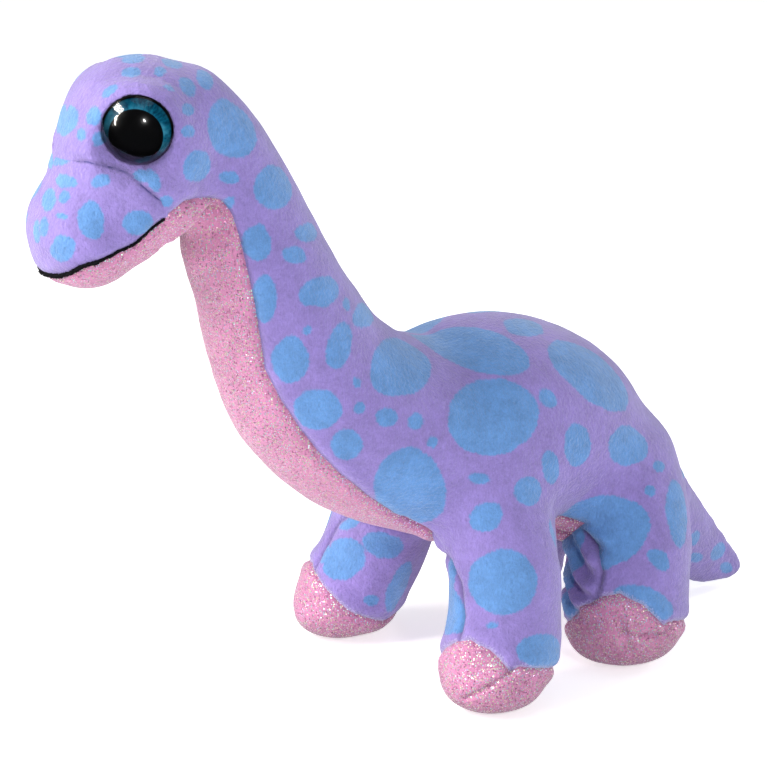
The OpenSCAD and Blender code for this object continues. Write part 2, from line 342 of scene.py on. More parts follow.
def ring_quads(rings, sides):
    """Quads between rings of points, each of them closed."""
    i, j = np.meshgrid(np.arange(rings - 1), np.arange(sides), indexing="ij")
    a, b = i * sides + j, i * sides + (j + 1) % sides
    return np.stack([a, b, b + sides, a + sides], axis=-1).reshape(-1, 4)


def smoothstep(low, high, value):
    t = np.clip((value - low) / (high - low), 0, 1)
    return t * t * (3 - 2 * t)


def lumps(points, size, seed):
    """Smooth random value from -1 to 1 at each point, with bumps about size across."""
    values = np.random.default_rng(seed).uniform(-1, 1, (40, 40, 40))
    cell = points / size + 4000
    base = np.floor(cell).astype(int)
    t = cell - base
    t = t * t * (3 - 2 * t)
    out = 0
    for corner in np.ndindex(2, 2, 2):
        i, j, k = ((base + corner) % 40).T
        out = out + np.prod(np.where(corner, t, 1 - t), axis=1) * values[i, j, k]
    return out


def line_distance(line, x, z):
    """Signed distance in the side view from a line of x, z points: positive on its left."""
    best = np.full(len(x), 1e9)
    out = np.zeros(len(x))
    for (ax, az), (bx, bz) in zip(line[:-1], line[1:]):
        dx, dz = bx - ax, bz - az
        t = np.clip(((x - ax) * dx + (z - az) * dz) / (dx * dx + dz * dz), 0, 1)
        ex, ez = x - ax - t * dx, z - az - t * dz
        far = np.hypot(ex, ez)
        nearer = far < best - 1e-9
        out = np.where(nearer, np.copysign(far, dx * ez - dz * ex), out)
        best = np.where(nearer, far, best)
    return out


class Sheet:
    """A triangle mesh whose points carry named values, one row for each point."""

    def __init__(self, values, faces):
        self.values, self.faces = values, faces

    def cut(self, name, gauge, snap=0.12):
        """Splits triangles so that none crosses gauge = 0, and keeps the gauge as a value."""
        gauge = np.where(np.abs(gauge) < snap, 0.0, gauge)
        self.values[name] = gauge
        count = len(gauge)
        ends = np.roll(self.faces, -1, axis=1)
        crossed = gauge[self.faces] * gauge[ends] < 0
        low = np.minimum(self.faces, ends)[crossed]
        high = np.maximum(self.faces, ends)[crossed]
        edges, which = np.unique(low * count + high, return_inverse=True)
        low, high = edges // count, edges % count
        share = gauge[low] / (gauge[low] - gauge[high])
        middle = np.full(self.faces.shape, -1)
        middle[crossed] = count + which
        for key, rows in self.values.items():
            t = share if rows.ndim == 1 else share[:, None]
            added = rows[low] + t * (rows[high] - rows[low])
            if key == name:
                added[:] = 0
            self.values[key] = np.concatenate([rows, added])
        total = crossed.sum(axis=1)
        out = [self.faces[total == 0]]
        for crossings in (1, 2):
            chosen = total == crossings
            start = np.argmax(crossed[chosen], axis=1) if crossings == 1 else \
                (np.argmin(crossed[chosen], axis=1) + 2) % 3
            turn = (np.arange(3) + start[:, None]) % 3
            a, b, c = np.take_along_axis(self.faces[chosen], turn, 1).T
            m, _, n = np.take_along_axis(middle[chosen], turn, 1).T
            if crossings == 1:
                out += [np.stack([a, m, c], 1), np.stack([m, b, c], 1)]
            else:
                out += [np.stack([a, m, n], 1), np.stack([m, b, c], 1), np.stack([m, c, n], 1)]
        self.faces = np.concatenate(out)

    def side(self, name):
        """Whether each triangle lies where the cut's gauge is above zero."""
        return self.values[name][self.faces].sum(axis=1) > 0


def point_normals(points, faces):
    """Unit normals of a triangle mesh's points."""
    a, b, c = points[faces[:, 0]], points[faces[:, 1]], points[faces[:, 2]]
    flat = np.cross(b - a, c - a)
    total = np.zeros_like(points)
    for corner in faces.T:
        for axis in range(3):
            total[:, axis] += np.bincount(corner, flat[:, axis], len(points))
    return total / np.maximum(np.linalg.norm(total, axis=1), 1e-12)[:, None]


def subdivided(points, quads):
    """The mesh after one Catmull-Clark subdivision, as quads."""
    piece = new_object("subdividing", points, quads)
    piece.modifiers.new("finer", "SUBSURF").levels = 1
    ready = piece.evaluated_get(bpy.context.evaluated_depsgraph_get()).to_mesh()
    out = np.zeros(len(ready.vertices) * 3)
    ready.vertices.foreach_get("co", out)
    corners = np.zeros(len(ready.loops), int)
    ready.loops.foreach_get("vertex_index", corners)
    bpy.data.objects.remove(piece)
    return out.reshape(-1, 3), corners.reshape(-1, 4)


def triangles(quads):
    return np.concatenate([quads[:, [0, 1, 2]], quads[:, [0, 2, 3]]])


def head_turned(rest):
    """Points of the rest shape, with the head turned on the neck."""
    angle = -HEAD_TURN * smoothstep(*TWIST, rest @ HEAD_UP)
    x, y = (rest - HEAD_PIVOT)[:, :2].T
    out = rest.copy()
    out[:, 0] = HEAD_PIVOT[0] + x * np.cos(angle) - y * np.sin(angle)
    out[:, 1] = HEAD_PIVOT[1] + x * np.sin(angle) + y * np.cos(angle)
    return out


# ---------------------------------------------------------------- seams

# Where the glitter knit meets the plush, in the side view: mouth, cheek, throat, chest and belly
GLITTER_EDGE = [
    (-165, 158), (-147, 161), (-141, 164), (-136, 168), (-127.5, 171), (-120, 174), (-116, 177),
    (-110, 182), (-103, 186), (-97, 186), (-92, 184), (-89.5, 179.5), (-87.5, 171.5), (-83, 150.5),
    (-79, 126.5), (-74.5, 116), (-68, 105), (-62, 97), (-53.5, 87.5), (-42, 77), (-28, 66.5),
    (-16, 59), (0, 56), (33, 56), (42, 53), (60, 46), (82, 33), (94, 22), (97, 5)]
# Where the muzzle panel meets the panels of the skull
MUZZLE_EDGE = [(-160, 198), (-138, 199.5), (-133, 200.5), (-130, 199.5), (-123, 196.5), (-118, 193),
               (-112, 187.5), (-109.5, 182), (-108, 176)]
# Height of a foot cap's edge at angles around the foot: 0 inner side, 90 toe, 180 outer side
FRONT_CAP = [(0, 9.5), (32, 14.5), (57, 22), (80, 26.5), (105, 28.5), (140, 26.5), (152, 24.5),
             (166, 19.5), (177, 21), (207, 18), (240, 14), (270, 10), (345, 7.5)]
HIND_CAP = [(0, 9), (40, 12), (73, 17), (88, 23.5), (110, 29), (135, 31), (164, 27), (186, 18.5),
            (192, 19.5), (215, 17.5), (240, 14), (270, 11), (330, 9)]
# Plush that narrows the belly between the front legs: its ends in x, how its front edge slants from
# outside to inside, and its top
GUSSET_START, GUSSET_END, GUSSET_SLANT = -24, 32, 1.1
GUSSET_OUTER, GUSSET_INNER, GUSSET_TOP = 29, 13, 68
# How far out the inner leg panel reaches, at heights above the floor
FRONT_INNER = [(0, 43), (20, 43), (34, 41), (45, 36), (51, 29), (54, 20), (58, 0)]
HIND_INNER = [(0, 38), (20, 39), (31, 40), (37, 39.5), (41, 37.5), (45, 34), (48.5, 29), (50.5, 22),
              (53, 0)]
# A leg's rows, cap edge and inner reach, the way that it bends in x, out and z, and where it starts
PAIRS = {"front": (FRONT_LEG, FRONT_CAP, FRONT_INNER, (0, 0.45, -0.89), -34.5),
         "hind": (HIND_LEG, HIND_CAP, HIND_INNER, (-0.41, 0.43, -0.81), -49.5)}
# Between the pairs of legs; how long the hips' bends are; the head's seam and bend on the neck
MIDDLE = 34
HIP_BEND = 22
HEAD_EDGE = 186
HEAD_START, HEAD_END = 190.5, 203
NECK_START, NECK_END = np.array([-38.0, 0, 102]), np.array([-61.0, 0, 134])
TAIL_ROOT, TAIL_WAY, TAIL_BEND = np.array([97.0, 0, 40]), np.array([0.67, 0, -0.74]), 15

CUTS = ["across", "plush", "skull", "tail", "head", "torso"] + [
    pair + end for pair in PAIRS for end in ("_below", "_limb", "_outer", "_cap")]


def gauge(name, rest, fields):
    """Signed distance of points from one of the lines that the skin is cut along, or near it."""
    x, y, z = rest.T
    out = np.abs(y)
    if name == "across":
        return -y
    if name == "plush":
        ahead = 0.7 * (x - GUSSET_START - GUSSET_SLANT * (GUSSET_OUTER - out))
        gusset = np.minimum.reduce([ahead, GUSSET_END - x, out - GUSSET_INNER, GUSSET_TOP - z])
        return np.maximum(line_distance(GLITTER_EDGE, x, z), gusset)
    if name == "skull":
        return line_distance(MUZZLE_EDGE, x, z)
    if name == "tail":
        return (rest - TAIL_ROOT) @ TAIL_WAY
    if name == "head":
        return head_turned(rest) @ HEAD_UP - HEAD_EDGE
    if name == "torso":
        way = NECK_START - NECK_END
        return (rest - NECK_START) @ (way / np.linalg.norm(way))
    pair, end = name.split("_")
    rows, cap, inner, way, start = PAIRS[pair]
    if end == "below":
        return np.stack([x, out, z], axis=1) @ way - start
    if end == "limb":
        limb = np.minimum(*(sample_grid(fields[pair + hand], rest) for hand in ("_left", "_right")))
        trunk = np.minimum(sample_grid(fields["body"], rest), sample_grid(fields["tail"], rest))
        return trunk - limb - (1.5 if pair == "hind" else 0)
    if end == "outer":
        heights, reach = np.array(inner).T
        return out - np.interp(z, heights, reach)
    angles, heights = np.array(cap).T
    foot = rows[-1]
    around = np.degrees(np.arctan2(foot[0] - x, out * -1 - foot[1])) % 360
    return 0.9 * (z - np.interp(around, angles, heights, period=360))


def name_parts(side, x):
    """The name of the piece that each point or triangle is on, from the sides of the cuts."""
    hand = np.where(side["across"], "left", "right")

    def panel(part):
        return np.char.add(np.char.add(part + "_", hand), "_panel")

    names = np.where(side["plush"], panel("torso"), "belly_panel").astype("U40")
    neck = ~side["torso"] & (x < 0)
    names[neck] = np.where(side["plush"], panel("neck"), "throat_panel")[neck]
    head = side["head"] & (x < -40)
    skull = np.where(side["skull"], panel("head"), "muzzle_panel")
    names[head] = np.where(side["plush"], skull, "jaw_panel")[head]
    tail = side["tail"] & ~side["hind_limb"] & (x > 80)
    names[tail] = panel("tail")[tail]
    for pair in PAIRS:
        near = x < MIDDLE if pair == "front" else x > MIDDLE
        leg = side[pair + "_below"] & side[pair + "_limb"] & near & (x > -40) & ~tail
        part = np.where(side[pair + "_outer"], "leg_outer_panel", "leg_inner_panel")
        part = np.where(side[pair + "_cap"], part, "foot_cap")
        names[leg] = np.char.add(np.char.add(pair + "_", np.char.add(hand, "_")), part)[leg]
    return names


def cloth_of(name):
    """The piece of fabric, from seam to seam, that a part belongs to."""
    if name in ("belly_panel", "throat_panel"):
        return "belly"
    if name in ("jaw_panel", "muzzle_panel") or name.startswith("tail") or "inner" in name \
            or name.endswith("cap"):
        return name
    return "left" if "left" in name else "right"


# ---------------------------------------------------------------- the skin

# The skin is meshed a little outside the shape, and its fabric may swell no further than a limit
SKIN_LEVEL = -0.5
SWELL_FRAMES = 12
SWELL_LIMIT = 1.6


def inflate(points, quads, seams):
    """The shape after its fabric is blown up as cloth, held along its seams."""
    piece = new_object("inflating", points * MM, quads)
    held = piece.vertex_groups.new(name="held")
    for i in np.flatnonzero(seams):
        held.add([int(i)], 1.0, "REPLACE")
    cloth = piece.modifiers.new("cloth", "CLOTH")
    cloth.settings.vertex_group_mass = "held"
    cloth.settings.quality = 4
    cloth.settings.mass = 0.15
    cloth.settings.tension_stiffness = 12
    cloth.settings.compression_stiffness = 12
    cloth.settings.shear_stiffness = 4
    cloth.settings.bending_stiffness = 0.3
    cloth.settings.use_pressure = True
    cloth.settings.uniform_pressure_force = 4
    cloth.settings.effector_weights.gravity = 0
    cloth.collision_settings.use_collision = False
    cloth.point_cache.frame_end = SWELL_FRAMES
    for step in range(1, SWELL_FRAMES + 1):
        scene.frame_set(step)
    ready = piece.evaluated_get(bpy.context.evaluated_depsgraph_get()).to_mesh()
    blown = np.zeros(len(ready.vertices) * 3)
    ready.vertices.foreach_get("co", blown)
    bpy.data.objects.remove(piece)
    scene.frame_set(1)
    moved = blown.reshape(-1, 3) / MM - points
    far = np.linalg.norm(moved, axis=1, keepdims=True)
    return points + moved * np.minimum(1, SWELL_LIMIT / np.maximum(far, 1e-9))


def build_skin():
    fields = build_fields()
    points, quads = mesh_field(fields["whole"], SKIN_LEVEL)
    points = relax(points, quads, 3)
    side = {name: gauge(name, points, fields) > 0 for name in CUTS}
    names = name_parts(side, points[:, 0])
    _, cloths = np.unique([cloth_of(n) for n in names], return_inverse=True)
    mixed = quads[np.ptp(cloths[quads], axis=1) > 0]
    seams = np.zeros(len(points), bool)
    seams[mixed.ravel()] = True
    points = relax(inflate(points, quads, seams), quads, 1)
    points, quads = subdivided(points, quads)
    skin = Sheet({"rest": points}, triangles(quads))
    for name in CUTS:
        skin.cut(name, gauge(name, skin.values["rest"], fields))
    side = {name: skin.side(name) for name in CUTS}
    names = name_parts(side, skin.values["rest"][:, 0][skin.faces].mean(axis=1))
    return skin, names


def nearest(points, marks):
    """Index of the nearest mark to each point, and its distance."""
    tree = KDTree(len(marks))
    for i, mark in enumerate(marks):
        tree.insert(mark, i)
    tree.balance()
    found = [tree.find(p)[1:] for p in points]
    return np.array([f[0] for f in found]), np.array([f[1] for f in found])


def seam_points(skin, names):
    """Indices of the points where two pieces of fabric meet, and the fabrics' names there."""
    cloths = np.array([cloth_of(n) for n in names])
    kinds, which = np.unique(cloths, return_inverse=True)
    low = np.full(len(skin.values["rest"]), len(kinds))
    high = np.full(len(skin.values["rest"]), -1)
    np.minimum.at(low, skin.faces.ravel(), np.repeat(which, 3))
    np.maximum.at(high, skin.faces.ravel(), np.repeat(which, 3))
    met = np.flatnonzero(low < high)
    return met, kinds[low[met]], kinds[high[met]]


def line_on_skin(points, normals, line):
    """Distance of points, along the skin, from a line near it."""
    best = np.full(len(points), 1e9)
    line = np.array(line, float)
    for a, b in zip(line[:-1], line[1:]):
        way = b - a
        t = np.clip((points - a) @ way / (way @ way), 0, 1)
        off = points - a - t[:, None] * way
        depth = (off * normals).sum(axis=1)
        along = np.linalg.norm(off - depth[:, None] * normals, axis=1)
        best = np.minimum(best, along + np.maximum(np.abs(depth) - 6, 0))
    return best


# Darts sewn into the feet and the crease of a toe, on either side: x, distance out, z
FRONT_DART = [(-9.3, 60.1, 20.4), (-13.7, 58.8, 17.4), (-18, 56.2, 14.3), (-22.4, 49.8, 9.1)]
HIND_DART = [(67, 54.2, 18), (61.4, 55.1, 16.2), (55, 54.5, 16.7), (50, 52.8, 16.5), (46, 50, 18)]
HIND_CREASE = [(45.5, 49, 22), (46.5, 50.6, 16.6), (49, 51.4, 10.5)]
# Folds of the fabric: their line, depth and width
FOLDS = [
    ([(-27, 21.5, 67), (-22, 21, 64), (-17, 22, 60), (-12, 25, 56)], 1.3, 1.8),
    ([(-92, 16, 182), (-97, 14, 178), (-102, 11, 174), (-106, 6, 171), (-107, 0, 170)], 1.5, 2.0),
    ([(-97, 17, 185), (-102, 14, 181), (-108, 9, 176), (-110, 0, 174)], -0.9, 2.4),
    ([(25, 38, 66), (20, 42, 58), (18, 42, 50)], 0.7, 3.0),
    ([(44, 36, 66), (40, 33, 60), (38, 28, 56)], 0.8, 2.5)]
# Where the throat tucks in under the jaw, in the side view, and how deep
JAW_FOLD = [(-89, 181.5), (-94, 181.5), (-99, 178.5), (-104, 174), (-109, 169)]
JAW_TUCK = 3.4
# Depths of the seams, and the width of their groove
SEAM, BACK_SEAM, MUZZLE_SEAM, GROOVE = 0.9, 0.15, 0.45, 1.1
# Depth and width of a dart and of a toe's crease, and the depth of the gathers inside a hind leg
DART, DART_WIDTH = 1.1, 0.9
CREASE, CREASE_WIDTH = 1.2, 1.6
GATHER = 1.7
# A distance from a seam that is too far for its shading
UNSEWN = 9


def gathers(rest):
    """Soft folds across the inner panel of a hind leg, from -1 to 1."""
    x, out, z = rest[:, 0], np.abs(rest[:, 1]), rest[:, 2]
    share = smoothstep(16, 24, z) * smoothstep(52, 46, z) * smoothstep(60, 50, x) \
        * smoothstep(36, 40, x) * smoothstep(42, 34, out)
    return share * np.sin(z * 0.72 + 0.25 * out + 2.4 * lumps(rest, 11, 21))


def jaw_tuck(x, z):
    """Share of the tuck at points, in the side view: full just under the jaw's fold."""
    under, inside = line_distance(JAW_FOLD, x, z), -line_distance(GLITTER_EDGE, x, z)
    return smoothstep(-0.5, 1.2, under) * smoothstep(16, 4, under) * smoothstep(0.3, 3, inside)


def sew(skin, names):
    """Moves the skin in along its seams and folds, with puckers beside them."""
    rest = skin.values["rest"]
    normals = point_normals(rest, skin.faces)
    met, first, second = seam_points(skin, names)
    index, far = nearest(rest, rest[met])
    spot = rest[met][index]
    x, out, z = rest[:, 0], np.abs(rest[:, 1]), rest[:, 2]
    back = ((first == "left") & (second == "right"))[index]
    muzzle = ((first == "muzzle_panel") | (second == "muzzle_panel"))[index]
    lost = muzzle * np.maximum(smoothstep(-113, -109.5, x), smoothstep(-134, -140, x))
    depth = np.where(back, BACK_SEAM, np.where(muzzle, MUZZLE_SEAM, SEAM)) * (1 - lost)
    dip = -depth * np.exp(-(far / GROOVE) ** 2)
    pucker = lumps(spot, 3.2, 5) * np.exp(-far / 3.5) * (1 - np.exp(-(far / 1.2) ** 2))
    dip += np.where(back, 0.1, 0.55) * pucker
    dip += np.where(back, 0, 0.5) * np.exp(-((far - 3.5) / 2.5) ** 2)
    either = np.stack([x, out, z], axis=1)
    facing = normals * np.stack([np.ones(len(x)), np.sign(rest[:, 1]), np.ones(len(x))], axis=1)
    sewn = np.where(back, UNSEWN, far + 2 * lost)
    for dart in (FRONT_DART, HIND_DART):
        off = line_on_skin(either, facing, dart)
        dip -= DART * np.exp(-(off / DART_WIDTH) ** 2)
        sewn = np.minimum(sewn, off)
    dip -= CREASE * np.exp(-(line_on_skin(either, facing, HIND_CREASE) / CREASE_WIDTH) ** 2)
    for line, deep, wide in FOLDS:
        dip -= deep * np.exp(-(line_on_skin(either, facing, line) / wide) ** 2)
    dip += GATHER * gathers(rest) - JAW_TUCK * jaw_tuck(x, z)
    dip += 0.35 * lumps(rest, 22, 3) + 0.2 * lumps(rest, 8, 4)
    dip *= smoothstep(-0.2, 2.5, z)
    skin.values["rest"] = rest + normals * dip[:, None]
    capped = (np.char.endswith(first, "cap") | np.char.endswith(second, "cap"))[index]
    skin.values["seam"] = sewn
    skin.values["rim"] = np.where(capped, far, UNSEWN)


# ---------------------------------------------------------------- eyes

EYE_POS = np.array([-118.0, -20, 210])
EYE_TURN, EYE_TILT = math.radians(24), math.radians(6)
EYE_R = 11.0
DOME_H = 6.5
DOME_BASE = 1.0
# Half section of the printed disc: its back, its rounded rim, and the edge of its face
DISC_RIM = [(10.2, -1.8), (10.9, -1.5), (11.1, -0.8), (11.15, 0), (11.15, 0.5), (11.1, 0.9),
            (10.95, 1.05), (10.8, 1.0), (10.7, 0.8)]
DISC_FACE = 0.8


def eye_matrix(side):
    """Place of an eye in mm: its own Z points out of the head. side is 1 for left, -1 for right."""
    place = Matrix.Translation(Vector(EYE_POS)) @ Matrix.Rotation(-EYE_TURN, 4, "Z") \
        @ Matrix.Rotation(math.pi / 2 + EYE_TILT, 4, "X")
    if side < 0:
        mirror = Matrix.Scale(-1, 4, (0, 1, 0))
        place = mirror @ place @ Matrix.Scale(-1, 4, (1, 0, 0))
    return place


def head_matrix():
    """The turn of the head on the neck, in mm."""
    pivot = Vector(HEAD_PIVOT)
    return Matrix.Translation(pivot) @ Matrix.Rotation(-HEAD_TURN, 4, "Z") \
        @ Matrix.Translation(-pivot)


def seat_eyes(rest):
    """Presses the skin in behind the eyes' discs."""
    out = rest.copy()
    for side in (1, -1):
        place = np.array(eye_matrix(side))
        local = (out - place[:3, 3]) @ place[:3, :3]
        r = np.hypot(local[:, 0], local[:, 1])
        near = (r < 18) & (local[:, 2] > -9) & (local[:, 2] < 12)
        hold = smoothstep(17.5, 10.6, r)
        level = np.where(r < EYE_R - 0.2, -1.2, 0.1)
        local[:, 2] = np.where(near, local[:, 2] * (1 - hold) + level * hold, local[:, 2])
        out = np.where(near[:, None], local @ place[:3, :3].T + place[:3, 3], out)
    return out


# ---------------------------------------------------------------- printed spots

# The print on the left side: x, y, z, half length, half width and the tilt of the length in degrees.
# The right side repeats it with small changes.
CROWN_SPOTS = [
    (-100, -15, 221, 4, 3, 75), (-92, -9, 222, 5, 3, 75), (-101, -5, 227, 5, 3, 45),
    (-113, -3, 229, 4, 4, 0), (-117, -11, 226, 3, 3, 0), (-108, -12, 226, 3, 2, 60),
    (-124, -14, 221, 3, 2, 0), (-130, -14, 214, 3, 3, 0), (-136, -2, 211, 7, 5, -75),
    (-134, -12, 208, 2, 2, 0), (-129, -18, 207, 2, 2, 0), (-108, -18, 221, 2, 2, 0)]
CHEEK_SPOTS = [
    (-86, -16, 207, 10, 9, -30), (-103, -24, 209, 3, 2, 0), (-103, -21, 215, 3, 2, 15),
    (-119, -24, 198, 3, 2, -30), (-115, -24, 195, 4, 2, -75), (-100, -23, 197, 6, 5, -30),
    (-89, -17, 192, 3, 2, -15), (-99, -18, 186, 5, 2, -30), (-90, -16, 183, 3, 2, 75),
    (-110, -22, 188, 2, 2, 0)]
MUZZLE_SPOTS = [
    (-137, -5, 199, 5, 2, -30), (-138, -9, 193, 5, 2, -30), (-129, -18, 195, 3, 2, 15),
    (-144, -7, 188, 4, 3, 75), (-140, -12, 189, 2, 2, 0), (-142, -14, 184, 2, 1, -30),
    (-133, -19, 183, 6, 4, 90), (-119, -21, 181, 5, 4, -15), (-142, -16, 174, 5, 4, 45),
    (-147, -10, 180, 3, 2, 75), (-148, -6, 177, 4, 2, 75)]
NECK_SPOTS = [
    (-74, -17, 186, 9, 7, 0), (-82, -19, 170, 6, 5, -75), (-62, -17, 170, 7, 3, 0),
    (-70, -21, 164, 5, 3, -15), (-80, -20, 151, 8, 4, -90), (-61, -23, 151, 9, 5, 0),
    (-50, -21, 145, 2, 2, 0), (-67, -25, 140, 2, 2, 0), (-56, -26, 133, 8, 5, 60),
    (-40, -18, 139, 9, 4, 15), (-51, -28, 120, 2, 2, 0), (-73, -23, 130, 8, 6, -90),
    (-50, -29, 112, 2, 2, 0), (-64, -26, 113, 8, 7, -15), (-41, -31, 107, 4, 3, -15),
    (-54, -27, 99, 6, 5, -60), (-62, 6, 178, 6, 4, 60), (-50, 5, 163, 3, 3, 0),
    (-40, 8, 150, 7, 4, 30), (-72, 4, 192, 4, 3, 15), (-28, 7, 136, 3, 2, 0)]
BODY_SPOTS = [
    (-30, -29, 80, 18, 12, -60), (-29, -24, 122, 16, 10, 15), (5, -15, 120, 21, 11, -45),
    (31, -11, 122, 9, 6, 15), (0, -35, 101, 18, 13, 0), (48, -27, 105, 20, 12, -30),
    (23, -35, 103, 4, 3, -45), (34, -39, 86, 8, 6, -75), (58, -35, 80, 10, 7, -15),
    (21, -39, 80, 6, 4, -75), (10, -40, 74, 6, 5, -15), (-7, -37, 81, 4, 2, -15),
    (-6, -40, 68, 6, 5, 15), (-29, -32, 104, 3, 3, 0), (-24, -34, 96, 2, 2, 0),
    (16, -41, 57, 5, 3, -75), (71, -37, 70, 3, 2, 0), (65, -40, 63, 2, 2, 0),
    (74, 6, 86, 9, 5, -60), (30, 8, 127, 9, 4, 0), (52, 10, 121, 8, 4, -15),
    (98, 5, 73, 8, 6, 45), (92, 21, 80, 7, 4, -45), (98, -13, 62, 6, 4, 15),
    (99, 8, 52, 4, 3, 60), (84, 10, 96, 5, 4, 0), (90, 12, 88, 2, 2, 0)]
FRONT_LEG_SPOTS = [
    (-6, -50, 48, 12, 11, -15), (-19, -41, 34, 4, 4, 0), (-12, -52, 34, 2, 1, -15),
    (4, -60, 24, 11, 6, -15), (-17, 30, 34, 9, 7, 15), (-6, 20, 40, 8, 5, -15),
    (2, 23, 22, 10, 5, 75), (-9, 24, 19, 3, 2, -15), (-16, 29, 47, 6, 2, 15)]
HIND_LEG_SPOTS = [
    (43, -36, 52, 19, 13, 15), (43, -21, 40, 12, 9, 90), (46, -28, 21, 10, 4, 15),
    (62, -50, 41, 5, 3, -45), (75, -45, 55, 12, 6, 75), (55, -52, 28, 12, 5, -30)]
TAIL_SPOTS = [
    (113, -10, 27, 3, 3, 0), (129, -5, 17, 5, 3, 0), (116, -8, 18, 4, 2, -30),
    (135, -4, 9, 4, 2, -30)]
SPOTS = (CROWN_SPOTS + CHEEK_SPOTS + MUZZLE_SPOTS + NECK_SPOTS + BODY_SPOTS + FRONT_LEG_SPOTS
         + HIND_LEG_SPOTS + TAIL_SPOTS)
NO_SPOT = -20.0


def spot_frame(normal):
    """Directions along the skin at a spot: one closest to X, and one up from it."""
    first = np.array([1, 0, 0]) - normal * normal[0]
    first /= np.linalg.norm(first)
    second = np.cross(normal, first)
    return first, second if second[2] > 0 else -second


def inside_ellipse(flat, long, wide, turn):
    """About how far flat points lie inside an ellipse that is turned by an angle."""
    along = flat[0] * math.cos(turn) + flat[1] * math.sin(turn)
    across = flat[1] * math.cos(turn) - flat[0] * math.sin(turn)
    size = np.hypot(along / long, across / wide)
    slope = np.hypot(along / long ** 2, across / wide ** 2)
    return size * (1 - size) / np.maximum(slope, 1e-6)


def print_spots(skin, names):
    """How far inside a spot each point is, in mm, for each piece of fabric."""
    rest = skin.values["rest"]
    normals = point_normals(rest, skin.faces)
    cloths = np.array([cloth_of(n) for n in names])
    middles = rest[skin.faces].mean(axis=1)
    shift = np.random.default_rng(11)
    spread = {cloth: np.full(len(rest), NO_SPOT) for cloth in set(cloths)}
    for x, y, z, length, width, tilt in SPOTS:
        other = np.array([x, -y, z]) + shift.uniform(-1.5, 1.5, 3)
        grown = shift.uniform(0.85, 1.15)
        twin = [] if y > 0 and z > 60 else [(other, grown, tilt + 15)]
        for centre, scale, turn in [((x, y, z), 1, tilt)] + twin:
            face = np.argmin(((middles - centre) ** 2).sum(axis=1))
            centre = middles[face]
            cloth = cloths[face]
            long, wide = length * scale, width * scale
            away = rest - centre
            chord = np.linalg.norm(away, axis=1)
            normal = normals[chord < max(4, wide / 2)].mean(axis=0)
            normal /= np.linalg.norm(normal)
            near = (chord < 1.6 * long + 4) & (normals @ normal > -0.1)
            first, second = spot_frame(normal)
            away = away[near]
            flat = np.stack([away @ first, away @ second])
            flat *= chord[near] / np.maximum(np.linalg.norm(flat, axis=0), 1e-6)
            inside = inside_ellipse(flat, long, wide, math.radians(turn))
            spread[cloth][near] = np.maximum(spread[cloth][near], inside)
    wobble = 0.5 * lumps(rest, 4, 8) + 0.25 * lumps(rest, 1.6, 9)
    skin.values["spot"] = {cloth: value + wobble for cloth, value in spread.items()}


# ---------------------------------------------------------------- mouth thread

STITCH = 2.6
HAIRS = 900
THREAD_STEP = 0.4


def mouth_path(skin):
    """The line between the muzzle and the jaw, from one corner of the mouth to the other."""
    rest = skin.values["rest"]
    normals = point_normals(rest, skin.faces)
    line = np.flatnonzero((skin.values["plush"] == 0) & (rest[:, 0] < -109.8) & (rest[:, 2] < 184))
    around = np.arctan2(rest[line, 1], -118 - rest[line, 0])
    order = line[np.argsort(around)]
    path = rest[order] + 0.35 * normals[order]
    run = np.concatenate([[0], np.cumsum(np.linalg.norm(np.diff(path, axis=0), axis=1))])
    keep = np.concatenate([[True], np.diff(run) > 1e-6])
    steps = np.arange(0, run[-1], THREAD_STEP)
    path = np.stack([np.interp(steps, run[keep], axis[keep]) for axis in path.T], axis=1)
    soft = np.ones(9) / 9
    padded = np.pad(path, ((4, 4), (0, 0)), mode="edge")
    return np.stack([np.convolve(axis, soft, "valid") for axis in padded.T], axis=1), steps


def make_thread(skin):
    """A twisted black thread along the mouth, with loose hairs."""
    rng = np.random.default_rng(7)
    path, steps = mouth_path(skin)
    count, sides = len(path), 10
    ends = np.minimum(steps, steps[-1] - steps)
    stitch = np.abs(np.sin(np.pi * steps / STITCH))
    radius = (0.45 + 0.4 * smoothstep(14, 36, ends)) * (0.7 + 0.3 * stitch) \
        * smoothstep(-0.4, 0.8, ends)
    path = path + 0.3 * np.stack([lumps(path, 1.4, seed) for seed in (31, 32, 33)], axis=1)
    ahead = np.gradient(path, axis=0)
    ahead /= np.linalg.norm(ahead, axis=1)[:, None]
    across = np.cross(ahead, (0, 0, 1))
    across /= np.linalg.norm(across, axis=1)[:, None]
    up = np.cross(across, ahead)
    angles = (np.arange(sides) * 2 * np.pi / sides)[None, :, None]
    ring = np.cos(angles) * across[:, None] + np.sin(angles) * up[:, None]
    fuzz = rng.uniform(0.7, 1.35, (count, sides, 1))
    points = (path[:, None] + ring * radius[:, None, None] * fuzz).reshape(-1, 3)
    faces = triangles(ring_quads(count, sides))
    hairs = rng.integers(3, count - 3, HAIRS)
    turns = rng.uniform(0, 2 * np.pi, len(hairs))
    out = np.cos(turns)[:, None] * across[hairs] + np.sin(turns)[:, None] * up[hairs]
    lean = ahead[hairs] * rng.uniform(-0.8, 0.8, (len(hairs), 1))
    root = path[hairs] + out * radius[hairs, None] * 0.8
    tip = root + (out + lean) * rng.uniform(0.4, 1.1, (len(hairs), 1))
    spread = 0.09 * np.stack([across[hairs], up[hairs], -across[hairs] - up[hairs]], axis=1)
    hair = np.concatenate([root[:, None] + spread, tip[:, None]], axis=1)
    base = len(points) + 4 * np.arange(len(hairs))
    sides3 = [np.stack([base + k, base + (k + 1) % 3, base + 3], axis=1) for k in range(3)]
    points = np.concatenate([points, hair.reshape(-1, 3)])
    faces = np.concatenate([faces, *sides3])
    return smooth_object("embroidered_mouth", head_turned(points), faces, points)


# ---------------------------------------------------------------- eyes

